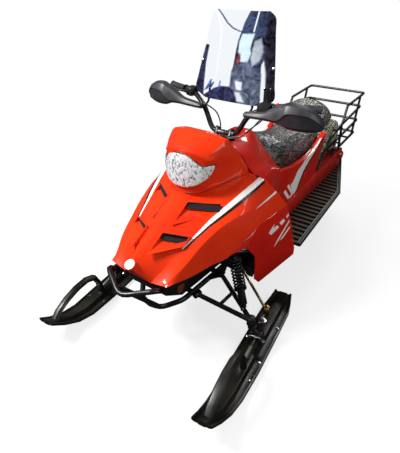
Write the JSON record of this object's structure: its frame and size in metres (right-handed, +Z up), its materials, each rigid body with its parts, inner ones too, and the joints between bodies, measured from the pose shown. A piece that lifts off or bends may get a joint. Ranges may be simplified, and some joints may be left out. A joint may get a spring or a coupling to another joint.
{
  "type": "utility snowmobile",
  "caption": "Small one-seat snowmobile with a red moulded body, two steerable skis, a rubber belt drive, a windshield on the handlebar and a tube rack behind the seat.",
  "frame": {"origin": "on the ground on the centre plane, under the belt lug that stands there", "axes": "+Z up, -Y towards the skis' tips, +X to the rider's left"},
  "size_m": [1.1559, 2.4191, 1.409],
  "materials": {
    "red_body": "glossy moulded",
    "white_badge": "glossy",
    "black_plastic": "satin moulded",
    "black_steel": "satin black paint",
    "black_rubber": "matt",
    "seat_vinyl": "grained vinyl",
    "clear_sheet": "clear sheet",
    "lamp_glass": "clear lens over a bright reflector",
    "tail_lens": "red lens",
    "zinc": "zinc plated",
    "cast_alloy": "as cast"
  },
  "bodies": {
    "chassis": {"hood": "red_body", "grille_upper_left": "black_plastic", "grille_upper_right": "black_plastic", "grille_lower_left": "black_plastic", "grille_lower_right": "black_plastic", "nose_disc": "white_badge", "headlight_pod": "red_body", "headlight": "lamp_glass", "tank_cover": "red_body", "side_panel_left": "red_body", "side_panel_right": "red_body", "seat_base": "red_body", "seat": "seat_vinyl", "backrest": "seat_vinyl", "tunnel": "black_steel", "running_board_left": "black_plastic", "running_board_right": "black_plastic", "rear_rack": "black_steel", "snow_flap": "black_rubber", "tail_light_left": "tail_lens", "tail_light_right": "tail_lens", "track": "black_rubber", "slide_rails": "black_steel", "drive_axle": "black_steel", "belly_pan": "black_plastic", "engine": "cast_alloy", "front_frame": "black_steel", "front_bumper": "black_steel", "a_arm_left": "black_steel", "a_arm_right": "black_steel", "shock_left": "black_steel", "shock_right": "black_steel"},
    "bar": {"handlebar": "black_steel", "windshield": "clear_sheet", "brake_master": "black_plastic", "grip_left": "black_rubber", "grip_right": "black_rubber", "handguard_left": "black_plastic", "handguard_right": "black_plastic", "screen_bracket_left": "black_steel", "screen_bracket_right": "black_steel"},
    "ski_body_left": {"ski_left": "black_plastic", "spindle_left": "black_steel"},
    "ski_body_right": {"ski_right": "black_plastic", "spindle_right": "black_steel"},
    "tie_body_left": {"tie_rod_left": "zinc"},
    "tie_body_right": {"tie_rod_right": "zinc"}
  },
  "joints": [
    {"name": "handlebar_steer", "type": "hinge", "parent": "chassis", "child": "bar", "pos_m": [0, -0.202, 0.88], "axis": [0, 0.4793, 0.8776], "range_deg": [-40, 24]},
    {"name": "ski_left_steer", "type": "hinge", "parent": "chassis", "child": "ski_body_left", "pos_m": [0.42, -0.575, 0], "axis": [0, 0, 1], "range_deg": [-34, 20.4]},
    {"name": "ski_right_steer", "type": "hinge", "parent": "chassis", "child": "ski_body_right", "pos_m": [-0.42, -0.575, 0], "axis": [0, 0, 1], "range_deg": [-34, 20.4]},
    {"name": "tie_rod_left_swing", "type": "hinge", "parent": "ski_body_left", "child": "tie_body_left", "pos_m": [0.43736, -0.46088, 0.15], "axis": [0, 0, 1], "range_deg": [-20.4, 34]},
    {"name": "tie_rod_right_swing", "type": "hinge", "parent": "ski_body_right", "child": "tie_body_right", "pos_m": [-0.47178, -0.47183, 0.15], "axis": [0, 0, 1], "range_deg": [-20.4, 34]}
  ],
  "couplings": [
    {"joint": "ski_left_steer", "follows": "handlebar_steer", "ratio": 0.85},
    {"joint": "ski_right_steer", "follows": "handlebar_steer", "ratio": 0.85},
    {"joint": "tie_rod_left_swing", "follows": "handlebar_steer", "ratio": -0.85},
    {"joint": "tie_rod_right_swing", "follows": "handlebar_steer", "ratio": -0.85}
  ]
}
